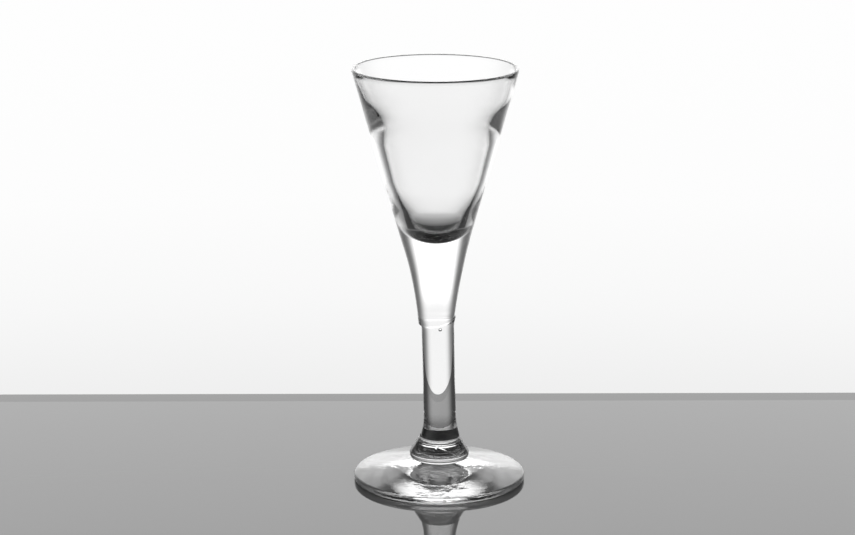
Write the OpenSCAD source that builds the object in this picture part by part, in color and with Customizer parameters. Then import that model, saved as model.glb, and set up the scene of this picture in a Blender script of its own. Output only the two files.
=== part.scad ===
/* [Foot] */
// Diameter of the foot
foot_d = 52; // [44:0.5:60]
// Height of the foot's land, on which the collar is fused
foot_h = 6.6; // [5:0.1:9]
// Height of the foot's edge before it is rounded
edge_h = 2.1; // [2:0.1:3]
// Rounding of the foot's edge by the fire
edge_round = 0.9; // [0.5:0.1:1]

/* [Collar] */
// Height of the collar between the foot and the stem
collar_h = 6.9; // [6:0.1:9]
// Diameter of the collar at its lip
collar_d = 18; // [16:0.1:20]
// Thickness of the collar's lip before it is rounded
lip_h = 2; // [1.8:0.1:3]
// Rounding of the collar's lip
lip_round = 1; // [0.5:0.1:1]
// Width by which the lip overhangs the foot's land
lip_overhang = 1.4; // [0.8:0.1:2]

/* [Stem] */
// Length of the stem between its welds
stem_l = 36; // [25:0.5:60]
// Diameter of the stem at its waist
stem_d = 9.7; // [8.6:0.1:10.5]
// Diameter of the stem next to its flares
stem_end_d = 9.9; // [9:0.1:10.6]
// Diameter of the weld between the stem and the collar
foot_weld_d = 11.9; // [11:0.1:14]
// Height of the flare above that weld
flare_h = 4.2; // [4:0.1:8]
// Height of the swelling under the weld with the bowl
swell_h = 1.5; // [1.2:0.1:4]
// Lean of the stem from plumb, in degrees
stem_lean = 1.3; // [0:0.1:2]

/* [Bowl] */
// Height of the bowl above its weld
bowl_h = 77.5; // [74:0.5:90]
// Outer diameter of the bowl's cone at the rim
rim_d = 50; // [46:0.5:56]
// Thickness of the wall at the rim
rim_wall = 1.2; // [0.8:0.1:2]
// Diameter of the bowl's neck at the weld
neck_d = 10.8; // [10:0.1:12]
// Width of the step from the neck in to the stem
weld_step = 0.15; // [0:0.05:0.3]
// Height over which the neck curves out into the cone
neck_h = 25; // [15:0.5:30]
// Slope of the neck's side at the weld, in degrees
neck_slope = 6; // [0:0.5:8]
// Distance by which the bowl is set over from the foot's centre
bowl_offset = 1.3; // [0:0.1:2]

/* [Cup] */
// Depth of the cup below the rim
cup_depth = 51.5; // [46:0.5:62]
// Thickness of the thin wall a little below the rim
knee_wall = 1.5; // [1.2:0.1:2]
// Thickness of the wall at the soft shoulder inside the cup
shoulder_wall = 3.1; // [2.5:0.1:3.5]
// Thickness of the wall at the cup's belly, below the shoulder
belly_wall = 2.3; // [2:0.1:3]
// Thickness of the wall beside the cup's round bottom
bottom_wall = 3.7; // [2.5:0.1:4.5]

/* [Hidden] */
$fn = 96;

// Steps along a small arc and along a wide one, in degrees
arc_step = 15;
wide_arc_step = 1.5;

foot_r = foot_d / 2;
land_r = collar_d / 2 - lip_overhang;
collar_top_z = foot_h + collar_h;
weld_z = collar_top_z + stem_l;
rim_z = weld_z + bowl_h;

// Distance of the stem's lower end from the foot's centre
stem_offset = 0.3;
// Length by which the leaning stem is made too long, before its ends are cut level
stem_spare = 1;
// Rounding where the flare runs into the stem
flare_round = 16;
// Part of the wall's thickness that is the rounding of each side of the rim
rim_round_share = 0.45;
// Parts of the cup's depth at which its wall starts to thicken, its shoulder and its belly lie
knee_share = 0.165;
shoulder_share = 0.35;
belly_share = 0.72;
// Roundings of the shoulder, with the bend above it, and of the belly
shoulder_round = 30;
belly_round = 50;

// Unit vector from one point towards another
function towards(from, to) = (to - from) / norm(to - from);

// Point at a height on the line through two points
function on_line(a, b, height) = [a.x + (b.x - a.x) * (height - a.y) / (b.y - a.y), height];

// Points along a circle from one angle to another
function arc(centre, radius, first, last, step) =
    let (count = max(2, ceil(abs(last - first) / step)))
    [for (i = [0:count])
        let (angle = first + (last - first) * i / count)
        centre + radius * [cos(angle), sin(angle)]];

// Arc that rounds the corner at b on the way from a to c
function rounded(a, b, c, radius, step) =
    let (
        back = towards(b, a),
        ahead = towards(b, c),
        half = acos(back * ahead) / 2,
        centre = b + towards([0, 0], back + ahead) * radius / sin(half),
        start = b + back * radius / tan(half) - centre,
        first = atan2(start.y, start.x),
        turn = (180 - 2 * half) * sign(cross(start, -back))
    )
    arc(centre, radius, first, first + turn, step);

// Point inside a cone's wall, at a depth below its rim and square in from its outer side
function inside(rim, slope, depth, wall) = rim - [depth * tan(slope) + wall / cos(slope), depth];

// A gather of clear glass, turned from its outline in radius and height
module gather(outline) {
    color("whitesmoke", 0.5) rotate_extrude() polygon(outline);
}

// Shallow cone with a fire-rounded edge, which stands on its flat underside
module foot() {
    bottom = [foot_r, 0];
    brim = [foot_r, edge_h];
    land = [land_r, foot_h];
    gather(concat(
        [[0, 0]],
        rounded([0, 0], bottom, brim, edge_round, arc_step),
        rounded(bottom, brim, land, edge_round, arc_step),
        [land, [0, foot_h]]
    ));
}

// Flared button with a rounded lip that overhangs the foot's land
module collar() {
    land = [land_r, foot_h];
    lip_low = [collar_d / 2, foot_h + lip_overhang / 3];
    lip_high = [collar_d / 2, foot_h + lip_h];
    top = [foot_weld_d / 2, collar_top_z];
    gather(concat(
        [[0, foot_h], land],
        rounded(land, lip_low, lip_high, lip_round, arc_step),
        rounded(lip_low, lip_high, top, lip_round, arc_step),
        [top, [0, collar_top_z]]
    ));
}

// Solid rod, a little waisted and a little out of plumb, with its ends cut level
module stem() {
    lower_end = [foot_weld_d / 2, 0];
    flare_top = [stem_end_d / 2, flare_h];
    waist = [stem_d / 2, stem_l / 2];
    swell_low = [stem_end_d / 2, stem_l - swell_h];
    upper_end = [neck_d / 2 - weld_step, stem_l];
    first = on_line(lower_end, flare_top, -stem_spare);
    last = on_line(swell_low, upper_end, stem_l + stem_spare);
    slab_w = 2 * collar_d;
    translate([stem_offset, 0, collar_top_z])
        intersection() {
            rotate([0, -stem_lean, 0])
                gather(concat(
                    [[0, first.y], first],
                    rounded(first, flare_top, waist, flare_round, arc_step / 3),
                    [waist, swell_low, last, [0, last.y]]
                ));
            translate([-slab_w / 2, -slab_w / 2, 0]) cube([slab_w, slab_w, stem_l]);
        }
}

// Straight cone blown hollow above, drawn down solid to its weld on the stem
module bowl() {
    neck = [neck_d / 2, weld_z];
    bend = neck + neck_h / 2 * [tan(neck_slope), 1];
    rim_out = [rim_d / 2, rim_z];
    rim_in = [rim_d / 2 - rim_wall, rim_z];
    cone_slope = atan2(rim_out.x - bend.x, rim_out.y - bend.y);
    bend_r = norm(bend - neck) / tan((cone_slope - neck_slope) / 2);
    rim_round = rim_wall * rim_round_share;

    knee = inside(rim_out, cone_slope, knee_share * cup_depth, knee_wall);
    shoulder = inside(rim_out, cone_slope, shoulder_share * cup_depth, shoulder_wall);
    belly = inside(rim_out, cone_slope, belly_share * cup_depth, belly_wall);
    bottom_room = inside(rim_out, cone_slope, cup_depth, bottom_wall).x * cos(cone_slope);
    cup_round = bottom_room / (1 - sin(cone_slope));
    round_centre = [0, rim_z - cup_depth + cup_round];
    to_belly = belly - round_centre;
    side_end = atan2(to_belly.y, to_belly.x) - acos(cup_round / norm(to_belly));
    cup_side = round_centre + cup_round * [cos(side_end), sin(side_end)];

    translate([-bowl_offset, 0, 0])
        gather(concat(
            [[0, weld_z]],
            rounded(neck, bend, rim_out, bend_r, wide_arc_step),
            rounded(bend, rim_out, rim_in, rim_round, 2 * arc_step),
            rounded(rim_out, rim_in, knee, rim_round, 2 * arc_step),
            rounded(rim_in, knee, shoulder, shoulder_round, wide_arc_step),
            rounded(knee, shoulder, belly, shoulder_round, wide_arc_step),
            rounded(shoulder, belly, cup_side, belly_round, arc_step / 3),
            arc(round_centre, cup_round, side_end, -90, arc_step / 2)
        ));
}

foot();
collar();
stem();
bowl();
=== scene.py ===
from math import acos, atan2, ceil, cos, degrees, exp, hypot, pi, radians, sin, sqrt, tan

import bpy
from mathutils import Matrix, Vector


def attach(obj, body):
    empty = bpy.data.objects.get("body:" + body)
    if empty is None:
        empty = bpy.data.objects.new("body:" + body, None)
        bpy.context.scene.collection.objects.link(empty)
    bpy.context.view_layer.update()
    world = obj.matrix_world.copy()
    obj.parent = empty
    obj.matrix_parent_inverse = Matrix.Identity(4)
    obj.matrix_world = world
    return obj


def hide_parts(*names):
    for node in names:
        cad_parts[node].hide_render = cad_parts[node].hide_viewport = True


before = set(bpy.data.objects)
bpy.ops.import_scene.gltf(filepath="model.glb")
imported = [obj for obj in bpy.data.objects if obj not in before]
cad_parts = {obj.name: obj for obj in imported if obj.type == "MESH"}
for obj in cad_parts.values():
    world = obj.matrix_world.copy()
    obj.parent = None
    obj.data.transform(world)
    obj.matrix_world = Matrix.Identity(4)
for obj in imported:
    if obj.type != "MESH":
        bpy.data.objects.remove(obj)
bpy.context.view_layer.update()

scene = bpy.context.scene
scene.view_settings.view_transform = "Standard"

# Light is thrown back and forth many times inside thick glass before it leaves it.
scene.cycles.transparent_max_bounces = 24
scene.cycles.max_bounces = 40
scene.cycles.transmission_bounces = 40
scene.cycles.glossy_bounces = 28

# Camera: stands 75 cm in front of the glass and 25 cm above the table, and looks down on
# the glass a little with a long lens.
bpy.ops.object.camera_add(location=(-0.0036, -0.750, 0.2549), rotation=(radians(75.88), 0, 0))
camera = bpy.context.object
camera.data.sensor_width = 36
camera.data.lens = 108.45
camera.data.clip_start = 0.01
scene.camera = camera

# Bowl: the first gather, of clear glass. It is blown hollow above and drawn down solid
# below, and its rim is melted round in the fire.
MM = 0.001
CREASE = radians(35)


def point(radius, height):
    """A point of an outline, in millimetres from the axis and above the table."""
    return Vector((radius, height))


def arc(middle, radius, first, last, step):
    """Points on a circle from one angle to another, in degrees, about one for each step."""
    count = max(2, ceil(abs(last - first) / step))
    turns = [radians(first + (last - first) * i / count) for i in range(count + 1)]
    return [middle + radius * Vector((cos(t), sin(t))) for t in turns]


def rounded(before, corner, after, radius, step):
    """The arc that rounds the corner between its two neighbours."""
    back = (before - corner).normalized()
    ahead = (after - corner).normalized()
    half = acos(back.dot(ahead)) / 2
    middle = corner + (back + ahead).normalized() * radius / sin(half)
    start = corner + back * radius / tan(half) - middle
    turned = (pi - 2 * half) * (1 if start.cross(-back) > 0 else -1)
    first = degrees(atan2(start.y, start.x))
    return arc(middle, radius, first, first + degrees(turned), step)


def gather(name, outline, middle=0.0, steps=256, longest=1.6):
    """Glass turned round an upright axis from its outline, with no side longer than asked."""
    same_place = 0.0001
    path = [outline[0]]
    for goal in outline[1:]:
        start = path[-1].copy()
        gap = (goal - start).length
        if gap < same_place:
            continue
        parts = ceil(gap / longest)
        path += [start + (goal - start) * (i + 1) / parts for i in range(parts)]
    bpy.ops.object.select_all(action="DESELECT")
    bpy.ops.mesh.primitive_plane_add(size=MM, location=(0, 0, 0))
    piece = bpy.context.object
    piece.name = piece.data.name = name
    bpy.ops.object.mode_set(mode="EDIT")
    bpy.ops.mesh.select_all(action="SELECT")
    bpy.ops.mesh.merge(type="CENTER")
    bpy.ops.transform.translate(value=((path[0].x + middle) * MM, 0, path[0].y * MM))
    for last, this in zip(path, path[1:]):
        move = ((this.x - last.x) * MM, 0, (this.y - last.y) * MM)
        bpy.ops.mesh.extrude_region_move(TRANSFORM_OT_translate={"value": move})
    bpy.ops.mesh.select_all(action="SELECT")
    bpy.ops.mesh.spin(steps=steps, angle=2 * pi, center=(middle * MM, 0, 0), axis=(0, 0, 1))
    bpy.ops.mesh.select_all(action="SELECT")
    bpy.ops.mesh.remove_doubles(threshold=0.002 * MM)
    bpy.ops.mesh.normals_make_consistent(inside=False)
    bpy.ops.object.mode_set(mode="OBJECT")
    bpy.ops.object.shade_smooth_by_angle(angle=CREASE)
    return piece


def clear_glass(name, waves, wave_height):
    """Clear polished glass, with the low waves that hot working leaves in its skin."""
    glass = bpy.data.materials.new(name)
    glass.use_nodes = True
    nodes, links = glass.node_tree.nodes, glass.node_tree.links
    skin = nodes["Principled BSDF"]
    skin.inputs["Base Color"].default_value = (1, 1, 1, 1)
    skin.inputs["Roughness"].default_value = 0
    skin.inputs["IOR"].default_value = 1.52
    skin.inputs["Transmission Weight"].default_value = 1
    place = nodes.new("ShaderNodeTexCoord")
    wave = nodes.new("ShaderNodeTexNoise")
    wave.inputs["Scale"].default_value = waves
    wave.inputs["Detail"].default_value = 2
    relief = nodes.new("ShaderNodeBump")
    relief.inputs["Strength"].default_value = 1
    relief.inputs["Distance"].default_value = wave_height * MM
    links.new(place.outputs["Object"], wave.inputs["Vector"])
    links.new(wave.outputs["Fac"], relief.inputs["Height"])
    links.new(relief.outputs["Normal"], skin.inputs["Normal"])
    grey = nodes.new("ShaderNodeVolumeAbsorption")
    grey.inputs["Color"].default_value = (0.4, 0.4, 0.4, 1)
    grey.inputs["Density"].default_value = 15
    links.new(grey.outputs["Volume"], nodes["Material Output"].inputs["Volume"])
    weld = nodes.new("ShaderNodeAttribute")
    weld.attribute_name = "skin"
    links.new(weld.outputs["Fac"], skin.inputs["Alpha"])
    return glass


# How far two pieces run into each other at their weld, and how near a corner is to be on it
OVERLAP, ON_WELD = 0.01, 0.001


def finish(piece, glass, welds):
    """Gives a piece its glass, and leaves nothing to see where it is fused to its neighbours."""
    piece.data.materials.append(glass)
    skin = piece.data.attributes.new("skin", "FLOAT", "FACE")
    for face in piece.data.polygons:
        at_weld = any(abs(face.center.z / MM - height) < 1.5 * OVERLAP for height in welds)
        is_level = abs(face.normal.z) > 0.999
        skin.data[face.index].value = 0 if at_weld and is_level else 1
    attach(piece, "root")
    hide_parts(piece.name.replace("glass_", ""))


def eased(value):
    """Goes gently from 0 to 1 as the value does."""
    value = min(max(value, 0), 1)
    return value * value * (3 - 2 * value)


def mound(off, reach):
    """1 in the middle of a soft mound, and nothing well beyond its reach."""
    return exp(-(off / reach) ** 2)


# The heights of the three welds and of the rim
foot_top, collar_top, stem_top, rim_top = 6.6, 13.5, 49.5, 127.0

bowl_middle = -1.3
neck_radius, neck_height, neck_lean = 5.4, 25, radians(6)
rim_radius, rim_wall, rim_round = 24.99, 1.2, 0.54
neck = point(neck_radius, stem_top)
bend = neck + neck_height / 2 * point(tan(neck_lean), 1)
rim_out = point(rim_radius, rim_top)
rim_in = point(rim_radius - rim_wall, rim_top)
cone_lean = atan2(rim_out.x - bend.x, rim_out.y - bend.y)
bend_round = (bend - neck).length / tan((cone_lean - neck_lean) / 2)


def inside(depth, wall):
    """A point in the cup, at a depth below the rim and square in from the cone's side."""
    return rim_out - point(depth * tan(cone_lean) + wall / cos(cone_lean), depth)


# The cup's wall is thin at a knee under the rim, thick at a soft shoulder below it, thinner
# at the belly, and thick again beside the round bottom.
cup_depth, knee_share, shoulder_share, belly_share = 51.5, 0.19, 0.35, 0.72
knee_wall, shoulder_wall, belly_wall, bottom_wall = 1.5, 3.1, 2.3, 3.7
shoulder_round, belly_round = 30, 50
knee = inside(knee_share * cup_depth, knee_wall)
shoulder = inside(shoulder_share * cup_depth, shoulder_wall)
belly = inside(belly_share * cup_depth, belly_wall)
cup_round = inside(cup_depth, bottom_wall).x * cos(cone_lean) / (1 - sin(cone_lean))
cup_middle = point(0, rim_top - cup_depth + cup_round)
to_belly = belly - cup_middle
side_end = degrees(atan2(to_belly.y, to_belly.x) - acos(cup_round / to_belly.length))
cup_side = cup_middle + cup_round * point(cos(radians(side_end)), sin(radians(side_end)))

# The neck has close steps near its weld, where it is pressed out of shape, and above them
# only every fifth.
weld_round, close_steps_low, close_steps_top = 0.35, stem_top + 0.4, 53
neck_side = rounded(neck, bend, rim_out, bend_round, 0.1)
close_steps = [p for p in neck_side if close_steps_low < p.y < close_steps_top]
wide_steps = [p for i, p in enumerate(neck_side) if p.y > close_steps_top and i % 5 == 0]
bowl = gather("glass_bowl", [
    point(0, stem_top),
    *rounded(point(0, stem_top), neck, bend, weld_round, 15),
    *close_steps,
    *wide_steps,
    *rounded(bend, rim_out, rim_in, rim_round, 30),
    *rounded(rim_out, rim_in, knee, rim_round, 15),
    *rounded(rim_in, knee, shoulder, shoulder_round, 0.5),
    *rounded(knee, shoulder, belly, shoulder_round, 0.5),
    *rounded(shoulder, belly, cup_side, belly_round, 0.5),
    *arc(cup_middle, cup_round, side_end, -90, 2),
], middle=bowl_middle)

# What the hot work left: the step at the weld is smoothed away at the back and its lip is
# squeezed out on the right, the cup is a little off the bowl's middle and has a pitted
# bottom, and the neck is bent to the right.
weld_core, smoothed_top, smoothed_reach = 5, stem_top + 0.36, 2
lip_core, lip_top, lip_width, lip_middle, lip_climb, lip_thickness = 4, 52, 0.5, 49.9, 0.5, 0.25
cup_floor, thinnest_wall, cup_shift, cup_shift_top, cup_shift_reach = 75, 1.3, 0.25, 124, 10
pits_top, pits_edge, pit_depth, pits_reach = 77, 5, 0.012, 2
neck_shift, neck_shift_top, neck_shift_reach = 0.36, 79, 15
for corner in bowl.data.vertices:
    height, across, behind = corner.co.z / MM, corner.co.x / MM - bowl_middle, corner.co.y / MM
    radius = hypot(across, behind)
    if height < smoothed_top and radius > weld_core:
        smoothed = eased(behind / smoothed_reach) * (neck_radius / radius - 1)
        corner.co.x += smoothed * across * MM
        corner.co.y += smoothed * behind * MM
    if height < lip_top and radius > lip_core:
        to_right = across / radius
        off_lip = height - lip_middle - lip_climb * to_right
        corner.co.x += lip_width * max(0, to_right) ** 2 * mound(off_lip, lip_thickness) * MM
    cone_radius = rim_radius - (rim_top - height) * tan(cone_lean)
    if height > cup_floor and radius < cone_radius - thinnest_wall:
        corner.co.x += cup_shift * MM * eased((cup_shift_top - height) / cup_shift_reach)
    if cup_floor < height < pits_top and radius < pits_edge:
        pits = sin(8 * across + 1) * sin(9 * behind + 2) + sin(17 * across) * sin(15 * behind)
        corner.co.z += pit_depth * pits * mound(radius, pits_reach) * MM
    corner.co.x += neck_shift * MM * eased((neck_shift_top - height) / neck_shift_reach)
finish(bowl, clear_glass("bowl_glass", waves=60, wave_height=0.02), [stem_top])


def set_askew(piece):
    """Tips the upper weld to the left and forward, and less so up to a little way from it."""
    tip_left, tip_forward, reach = 0.12, 0.1, 3.5
    for corner in piece.data.vertices:
        off = abs(corner.co.z / MM - stem_top) / reach
        if off < 1:
            tip = tip_left * (corner.co.x - bowl_middle * MM) + tip_forward * corner.co.y
            corner.co.z += tip * eased(1 - off)


set_askew(bowl)

# Stem: a solid rod of the same glass, pulled out a little at its waist and fused hot under
# the bowl. It leans very slightly, because it cooled that way, and holds one seed of air.
foot_weld_radius, end_radius, waist_radius, weld_step = 5.95, 4.95, 4.85, 0.15
stem_length, flare_height, flare_round, swell_height = stem_top - collar_top, 4.2, 16, 1.5
flare_foot, flare_top = point(foot_weld_radius, 0), point(end_radius, flare_height)
waist = point(waist_radius, stem_length / 2)
rod = [
    point(0, 0), flare_foot,
    *rounded(flare_foot, flare_top, waist, flare_round, 0.5),
    waist, point(end_radius, stem_length - swell_height),
    point(neck_radius - weld_step, stem_length), point(0, stem_length),
]
stem = gather("glass_stem", [p + point(0, collar_top) for p in rod], steps=192)

# Its upper end swells at the back to meet the neck, and two soft lumps stand on its side.
end_low, end_swelling, stem_offset, stem_lean = 49, 0.027, 0.3, radians(1.3)
rod_core, lump_size, lump_turn, lump_width, lumps = 4, 0.06, 52, 6, [(45.2, 0.8), (42.2, 1.4)]
for corner in stem.data.vertices:
    height, radius = corner.co.z / MM, hypot(corner.co.x, corner.co.y) / MM
    turn = degrees(atan2(corner.co.x, -corner.co.y))
    is_top, is_bottom = height > stem_top - ON_WELD, height < collar_top + ON_WELD
    corner.co.z += OVERLAP * MM * (is_top - is_bottom)
    if height > end_low and radius > weld_core:
        swelling = end_swelling * eased(corner.co.y / MM / smoothed_reach)
        corner.co.x *= 1 + swelling
        corner.co.y *= 1 + swelling
    if radius > rod_core:
        lump = lump_size * mound(turn - lump_turn, lump_width)
        lump *= sum(mound(height - lump_height, reach) for lump_height, reach in lumps)
        corner.co.x += lump * MM * sin(radians(turn))
        corner.co.y -= lump * MM * cos(radians(turn))
    corner.co.x += (stem_offset - tan(stem_lean) * (height - collar_top)) * MM
seed_radius, seed_place, seed_stretch = 0.36 * MM, (-0.05 * MM, 0, 47.5 * MM), 1.5
bpy.ops.object.select_all(action="DESELECT")
bpy.ops.mesh.primitive_uv_sphere_add(
    segments=32, ring_count=16, radius=seed_radius, location=seed_place)
seed = bpy.context.object
seed.scale.z = seed_stretch
bpy.ops.object.transform_apply(location=True, rotation=True, scale=True)
bpy.ops.object.mode_set(mode="EDIT")
bpy.ops.mesh.select_all(action="SELECT")
bpy.ops.mesh.flip_normals()
bpy.ops.object.mode_set(mode="OBJECT")
stem.select_set(True)
bpy.context.view_layer.objects.active = stem
bpy.ops.object.join()
bpy.ops.object.shade_smooth_by_angle(angle=CREASE)
finish(stem, clear_glass("stem_glass", waves=90, wave_height=0.015), [collar_top, stem_top])
set_askew(stem)

# Collar: a button of glass between stem and foot, squeezed flat so that its lip stands
# out over the foot. The end of the gather is laid over itself in a small fold at the front.
lip_radius, lip_overhang, lip_height, lip_round = 9, 1.4, 2, 1
land = point(lip_radius - lip_overhang, foot_top)
lip_low = point(lip_radius, foot_top + lip_overhang / 3)
lip_high = point(lip_radius, foot_top + lip_height)
collar_edge = point(foot_weld_radius, collar_top)
collar = gather("glass_collar", [
    point(0, foot_top), land,
    *rounded(land, lip_low, lip_high, lip_round, 5),
    *rounded(lip_low, lip_high, collar_edge, lip_round, 5),
    collar_edge, point(0, collar_top),
], steps=288, longest=0.2)


def stretch(value, first, last, rise=1, fall=1):
    """1 along a stretch, and nothing beyond its two soft ends."""
    return eased((value - first) / rise) * eased((last - value) / fall)


# The fold ends on the left in a dot with an upright mark below it. Low rings run round the
# top, and a hollow lies to the left. All of them are on the side, above the lip.
side_from, side_low = 5.9, 7.4
fold_turn, fold_height, fold_fall, fold_depth, fold_width = -8, 11.9, 0.05, 0.05, 0.13
dot_height, dot_depth, dot_reach = 11.3, 0.08, sqrt(0.03)
mark_place, mark_depth, mark_width = -0.5, 0.05, 0.12
ring_height, ring_gap, ring_depth = 12.3, 0.7, 0.02
hollow_turn, hollow_height, hollow_depth, hollow_width, hollow_tall = -38, 10, 0.12, 14, 0.8
for corner in collar.data.vertices:
    height, radius = corner.co.z / MM, hypot(corner.co.x, corner.co.y) / MM
    turn = degrees(atan2(corner.co.x, -corner.co.y))
    corner.co.z -= OVERLAP * MM * (height < foot_top + ON_WELD)
    if radius < side_from or height < side_low:
        continue
    above_fold = height - (fold_height - fold_fall * (turn - fold_turn))
    dent = fold_depth * stretch(turn, -10, 50, 6, 10) * mound(above_fold, fold_width)
    along = radians(turn - fold_turn) * radius
    dent += dot_depth * mound(hypot(along, height - dot_height), dot_reach)
    dent += mark_depth * mound(along - mark_place, mark_width) * stretch(height, 8.6, 11)
    rings = cos(2 * pi * (height - ring_height) / ring_gap)
    dent += ring_depth * rings * stretch(height, 11.5, collar_top, 0.4, 0.3)
    hollow = mound(turn - hollow_turn, hollow_width) * mound(height - hollow_height, hollow_tall)
    dent += hollow_depth * hollow
    corner.co.x *= 1 - dent / radius
    corner.co.y *= 1 - dent / radius
finish(collar, clear_glass("collar_glass", waves=150, wave_height=0.02), [foot_top, collar_top])

# Foot: the last gather, dropped on the collar and flattened while soft into a low cone with
# a thick round edge. It stands on its flat underside, which is rubbed a little by use.
foot_radius, brim_height, edge_round = 26, 2.1, 0.9
bottom, brim = point(foot_radius, 0), point(foot_radius, brim_height)
foot = gather("glass_foot", [
    point(0, 0),
    *rounded(point(0, 0), bottom, brim, edge_round, 5),
    *rounded(bottom, brim, land, edge_round, 5),
    land, point(0, foot_top),
])
rubbed_height, rubbed_depth = 0.3, 0.12
foot_glass = clear_glass("foot_glass", waves=120, wave_height=0.03)
nodes, links = foot_glass.node_tree.nodes, foot_glass.node_tree.links
place = nodes["Texture Coordinate"].outputs["Object"]
split = nodes.new("ShaderNodeSeparateXYZ")
links.new(place, split.inputs[0])
underside = nodes.new("ShaderNodeMath")
underside.operation = "LESS_THAN"
underside.inputs[1].default_value = rubbed_height * MM
links.new(split.outputs["Z"], underside.inputs[0])
rubbed = nodes.new("ShaderNodeTexNoise")
rubbed.inputs["Scale"].default_value = 300
rubbed.inputs["Detail"].default_value = 3
links.new(place, rubbed.inputs["Vector"])
wear = nodes.new("ShaderNodeBump")
wear.inputs["Distance"].default_value = rubbed_depth * MM
links.new(underside.outputs[0], wear.inputs["Strength"])
links.new(rubbed.outputs["Fac"], wear.inputs["Height"])
links.new(nodes["Bump"].outputs["Normal"], wear.inputs["Normal"])
links.new(wear.outputs["Normal"], nodes["Principled BSDF"].inputs["Normal"])
finish(foot, foot_glass, [foot_top])

# Table: a sheet of black polished glass on which the cordial glass stands. It ends in a
# straight edge 9 cm behind it, and is darker and reflects less in a strip along that edge.
table_width, table_depth, table_thickness = 6, 3.088, 0.02
table_back, table_gap, back_strip_from, table_turn = 0.088, 0.00005, 0.0795, radians(-0.43)
bpy.ops.object.select_all(action="DESELECT")
bpy.ops.mesh.primitive_cube_add(
    size=1, location=(0, table_back - table_depth / 2, -table_gap - table_thickness / 2))
table = bpy.context.object
table.name = "table"
table.scale = (table_width, table_depth, table_thickness)
bpy.ops.object.transform_apply(location=True, rotation=True, scale=True)
bpy.ops.transform.rotate(value=table_turn, orient_axis="Z", center_override=(0, 0, 0))
bpy.ops.object.transform_apply(location=True, rotation=True, scale=True)
polish = bpy.data.materials.new("black_polish")
polish.use_nodes = True
nodes, links = polish.node_tree.nodes, polish.node_tree.links
nodes.remove(nodes["Principled BSDF"])

# The camera sees the table's fine dust more plainly than it shows through the glass.
seen = nodes.new("ShaderNodeLightPath")
dust = nodes.new("ShaderNodeMix")
dust.data_type = "RGBA"
dust.inputs["A"].default_value = (0.03, 0.03, 0.03, 1)
dust.inputs["B"].default_value = (0.07, 0.07, 0.07, 1)
body = nodes.new("ShaderNodeBsdfDiffuse")
mirror = nodes.new("ShaderNodeBsdfGlossy")
mirror.inputs["Roughness"].default_value = 0
edge_on = nodes.new("ShaderNodeFresnel")
edge_on.inputs["IOR"].default_value = 1.6
both = nodes.new("ShaderNodeMixShader")
links.new(seen.outputs["Is Camera Ray"], dust.inputs["Factor"])
links.new(dust.outputs["Result"], body.inputs["Color"])
links.new(edge_on.outputs["Fac"], both.inputs["Fac"])
links.new(body.outputs["BSDF"], both.inputs[1])
links.new(mirror.outputs["BSDF"], both.inputs[2])
links.new(both.outputs["Shader"], nodes["Material Output"].inputs["Surface"])
table.data.materials.append(polish)
# The strip along the back edge gets a copy of the table's finish that is darker to the camera
# and reflects less.
back_strip = polish.copy()
back_strip.name = "black_polish_back_strip"
back_strip.node_tree.nodes["Mix"].inputs["B"].default_value = (0.05, 0.05, 0.05, 1)
back_strip.node_tree.nodes["Fresnel"].inputs["IOR"].default_value = 1.42
table.data.materials.append(back_strip)
bpy.ops.object.mode_set(mode="EDIT")
bpy.ops.mesh.select_all(action="SELECT")
bpy.ops.mesh.bisect(plane_co=(0, back_strip_from, 0), plane_no=(sin(table_turn), cos(table_turn), 0))
bpy.ops.object.mode_set(mode="OBJECT")
for face in table.data.polygons:
    if face.center.y > back_strip_from:
        face.material_index = 1

# Studio: a white sheet behind the table, lit evenly, with the room dark to the sides and
# above, and paler again behind the camera, most on the left.
world = bpy.data.worlds.new("studio")
scene.world = world
world.use_nodes = True
nodes, links = world.node_tree.nodes, world.node_tree.links
ground = nodes["Background"]
ground.inputs["Strength"].default_value = 1


def step(kind, first, second=None, third=None, clamp=False):
    """One sum in a node tree, on links or plain numbers."""
    node = nodes.new("ShaderNodeMath")
    node.operation = kind
    node.use_clamp = clamp
    for socket, value in zip(node.inputs, (first, second, third)):
        if isinstance(value, (int, float)):
            socket.default_value = value
        elif value is not None:
            links.new(value, socket)
    return node.outputs[0]


def curve(value, points):
    """A tone that follows a value from 0 to 1 through the given points."""
    ramp = nodes.new("ShaderNodeValToRGB")
    ramp.color_ramp.interpolation = "LINEAR"
    stops = ramp.color_ramp.elements
    while len(stops) < len(points):
        stops.new(0.5)
    # The stops change places while they are moved, so they get their tones afterwards.
    for stop, (place, tone) in zip(stops, points):
        stop.position = place
    for stop, (place, tone) in zip(stops, points):
        stop.color = (tone, tone, tone, 1)
    links.new(value, ramp.inputs["Fac"])
    return ramp.outputs["Color"]


way = nodes.new("ShaderNodeTexCoord")
split = nodes.new("ShaderNodeSeparateXYZ")
links.new(way.outputs["Generated"], split.inputs[0])
to_side = step("ABSOLUTE", split.outputs["X"])
way_round = step("DIVIDE", step("ARCTAN2", to_side, split.outputs["Y"]), pi)
way_up = step("MULTIPLY_ADD", split.outputs["Z"], 0.5, 0.5)


def by_turn(points):
    """A tone that follows the turn away from the far side, in degrees to either hand."""
    return curve(way_round, [(angle / 180, tone) for angle, tone in points])


def by_rise(points):
    """A tone that follows the rise above the horizon, in degrees."""
    return curve(way_up, [((1 + sin(radians(angle))) / 2, tone) for angle, tone in points])


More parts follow.
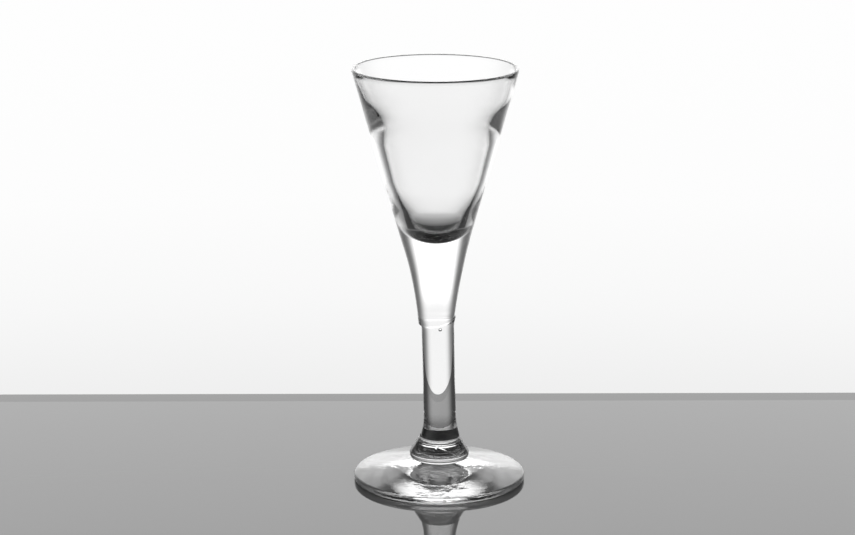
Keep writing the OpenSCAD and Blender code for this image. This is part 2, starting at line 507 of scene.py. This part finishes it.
round_about = by_turn([
    (0, 1), (18, 1), (25, 0.88), (30, 0.68), (35, 0.48), (40, 0.33), (45, 0.25), (52, 0.18),
    (60, 0.15), (72, 0.18), (84, 0.35), (92, 0.35), (140, 0.3), (180, 0.3)])
overhead = by_rise([
    (-90, 0.03), (-43, 0.1), (-41, 0.18), (-38, 0.3), (-35, 0.4), (-32, 0.55), (-29, 0.68),
    (-26, 0.8), (-22, 0.94), (-18, 1), (34, 1), (41, 0.55), (49, 0.2), (62, 0.06), (75, 0.2),
    (90, 0.35)])
behind_camera = by_turn([(0, 0), (98, 0), (112, 0.6), (180, 0.6)])
low_band = by_rise([(-90, 0), (-12, 0), (-6, 1), (18, 1), (26, 0), (90, 0)])
more_on_left = step("MULTIPLY_ADD", split.outputs["X"], -0.45, 0.4, clamp=True)
pale_room = step("MULTIPLY", step("MULTIPLY", behind_camera, more_on_left), low_band)
seen_in_glass = step("MAXIMUM", step("MULTIPLY", round_about, overhead), pale_room)
backdrop = by_rise([(-90, 0.85), (-17, 0.86), (-14.8, 0.94), (-12.6, 0.98), (-9, 0.99), (90, 1)])
path = nodes.new("ShaderNodeLightPath")
through = step("MAXIMUM", path.outputs["Is Glossy Ray"], path.outputs["Is Transmission Ray"])
pick = nodes.new("ShaderNodeMix")
pick.data_type = "RGBA"
links.new(through, pick.inputs["Factor"])
links.new(backdrop, pick.inputs["A"])
links.new(seen_in_glass, pick.inputs["B"])
links.new(pick.outputs["Result"], ground.inputs["Color"])

# Softbox: a wide lamp behind the table, which the camera sees only in the glass and in the
# table. It is brightest in its middle, fades out towards its edges, and has a faint skirt.
bpy.ops.object.light_add(type="AREA", location=(0, 1.3, 0.22), rotation=(radians(-90), 0, 0))
softbox = bpy.context.object
softbox.name = "softbox"
softbox.data.shape = "RECTANGLE"
softbox.data.size, softbox.data.size_y = 2.4, 1.64
softbox.data.energy = 13.2
softbox.visible_camera = False
softbox.data.use_nodes = True
nodes, links = softbox.data.node_tree.nodes, softbox.data.node_tree.links
cloth = nodes.new("ShaderNodeNewGeometry")
split = nodes.new("ShaderNodeSeparateXYZ")
links.new(cloth.outputs["Parametric"], split.inputs[0])

# For each side, the place where it is dimmest, the place where it is at its full strength,
# and the strength that is left at the dimmest one
left, right = ("X", 0, 0.35, 0), ("X", 1, 0.65, 0)
above, below = ("Y", 0, 0.093, 0), ("Y", 0.7, 0.6, 0.07)
fades = []
for axis, edge, full, least in (left, right, above, below):
    fade = nodes.new("ShaderNodeMapRange")
    fade.interpolation_type = "SMOOTHSTEP"
    fade.inputs["From Min"].default_value = edge
    fade.inputs["From Max"].default_value = full
    fade.inputs["To Min"].default_value = least
    links.new(split.outputs[axis], fade.inputs["Value"])
    fades.append(fade.outputs[0])
sideways = step("MULTIPLY", fades[0], fades[1])
upward = step("MULTIPLY", fades[2], fades[3])
links.new(step("MULTIPLY", sideways, upward), nodes["Emission"].inputs["Strength"])

bpy.context.view_layer.update()
